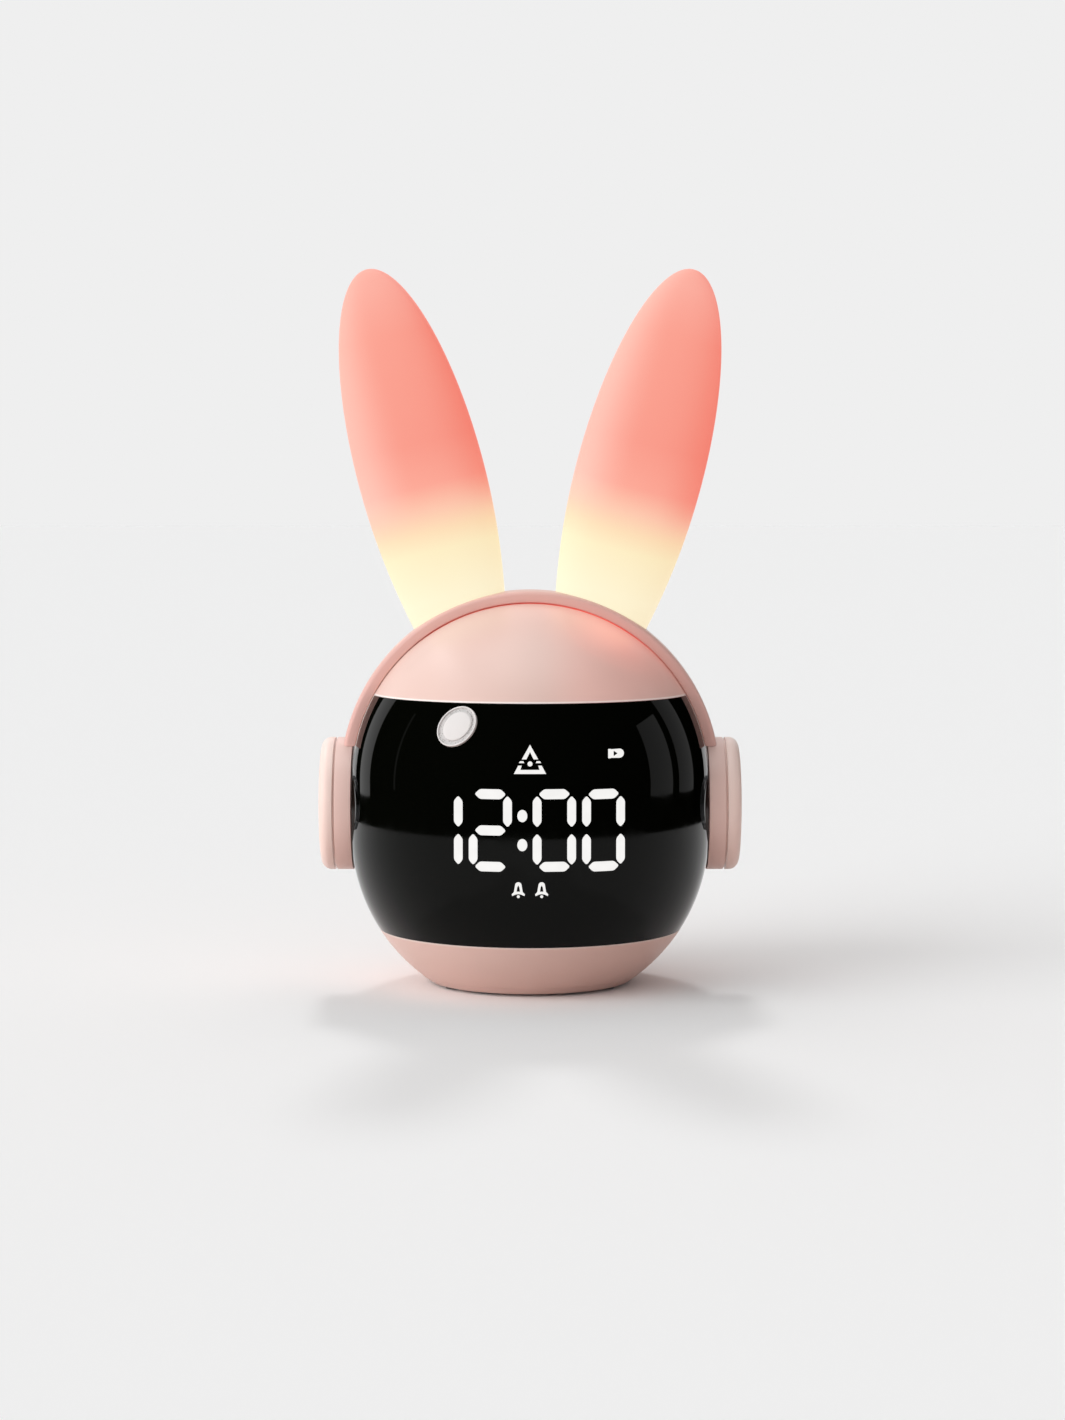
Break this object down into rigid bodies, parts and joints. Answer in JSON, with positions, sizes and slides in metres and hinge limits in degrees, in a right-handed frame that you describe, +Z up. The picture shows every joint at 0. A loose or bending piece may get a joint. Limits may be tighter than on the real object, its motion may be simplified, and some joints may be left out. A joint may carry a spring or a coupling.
{
  "type": "kids alarm clock with night light",
  "caption": "Round pink desk clock with a dark display window, a headband, lit ear lamps, a push cup on each side and a back panel of keys.",
  "frame": {"origin": "centre of the clock's footprint on the table, under the middle of its bounding box", "axes": "+Z up, +X to the viewer's right as the clock faces the viewer, the display faces -Y"},
  "size_m": [0.115, 0.0985, 0.1964],
  "materials": {
    "shell_plastic": "fine satin moulded",
    "band_plastic": "fine satin moulded",
    "ring_plastic": "satin moulded",
    "cap_plastic": "satin moulded",
    "window_plastic": "polished smoked",
    "pad_plastic": "glossy",
    "light_guide": "lit, milky",
    "ear_diffuser": "lit, milky satin",
    "dark_plastic": "satin",
    "black_plastic": "moulded",
    "light_plastic": "moulded",
    "key_plastic": "satin moulded",
    "circuit_board": "solder mask",
    "led_resin": "clear resin",
    "plated_steel": "zinc plated",
    "spring_steel": "drawn wire",
    "speaker_steel": "black painted",
    "battery_pouch": "shrink wrapped",
    "foot_rubber": "matte",
    "lead_red": "insulated wire",
    "lead_white": "insulated wire"
  },
  "bodies": {
    "clock": {"front_shell": "shell_plastic", "rear_shell": "shell_plastic", "base_plate": "shell_plastic", "rubber_feet": "foot_rubber", "headband": "band_plastic", "visor": "window_plastic", "touch_pad": "pad_plastic", "time_segments": "light_guide", "status_icons": "light_guide", "display_frame": "black_plastic", "display_board": "circuit_board", "display_leds": "led_resin", "ear_left": "ear_diffuser", "ear_right": "ear_diffuser", "ear_boards": "circuit_board", "ear_leds": "led_resin", "collar_left": "dark_plastic", "collar_right": "dark_plastic", "cup_ring_left": "ring_plastic", "cup_ring_right": "ring_plastic", "cap_spring_left": "spring_steel", "cap_spring_right": "spring_steel", "side_boards": "circuit_board", "side_switches": "dark_plastic", "rear_panel": "shell_plastic", "slide_switch": "plated_steel", "key_board": "circuit_board", "key_switches": "dark_plastic", "usb_socket": "plated_steel", "main_board": "circuit_board", "main_chips": "dark_plastic", "speaker": "speaker_steel", "speaker_clip": "light_plastic", "battery": "battery_pouch", "ear_leads": "lead_red", "side_leads": "lead_white", "display_lead": "lead_white", "speaker_lead": "lead_red", "battery_lead": "lead_red", "shell_screws": "plated_steel", "base_screws": "plated_steel", "panel_screws": "plated_steel", "board_screws": "plated_steel"},
    "left_cap": {"cap_left": "cap_plastic"},
    "right_cap": {"cap_right": "cap_plastic"},
    "mode_key": {"key_mode": "key_plastic"},
    "set_key": {"key_set": "key_plastic"},
    "up_key": {"key_up": "key_plastic"},
    "down_key": {"key_down": "key_plastic"},
    "slider": {"power_slider": "key_plastic"}
  },
  "joints": [
    {"name": "left_cap_press", "type": "slide", "parent": "clock", "child": "left_cap", "axis": [1, 0, 0], "range_m": [0, 0.0005], "stiffness_N_per_m": 1200, "springref_m": -0.0006},
    {"name": "right_cap_press", "type": "slide", "parent": "clock", "child": "right_cap", "axis": [-1, 0, 0], "range_m": [0, 0.0005], "stiffness_N_per_m": 1200, "springref_m": -0.0006},
    {"name": "mode_key_press", "type": "slide", "parent": "clock", "child": "mode_key", "axis": [0, -1, 0], "range_m": [0, 0.0008], "stiffness_N_per_m": 900, "springref_m": -0.0004},
    {"name": "set_key_press", "type": "slide", "parent": "clock", "child": "set_key", "axis": [0, -1, 0], "range_m": [0, 0.0008], "stiffness_N_per_m": 900, "springref_m": -0.0004},
    {"name": "up_key_press", "type": "slide", "parent": "clock", "child": "up_key", "axis": [0, -1, 0], "range_m": [0, 0.0008], "stiffness_N_per_m": 900, "springref_m": -0.0004},
    {"name": "down_key_press", "type": "slide", "parent": "clock", "child": "down_key", "axis": [0, -1, 0], "range_m": [0, 0.0008], "stiffness_N_per_m": 900, "springref_m": -0.0004},
    {"name": "power_slide", "type": "slide", "parent": "clock", "child": "slider", "axis": [1, 0, 0], "range_m": [0, 0.003]}
  ]
}
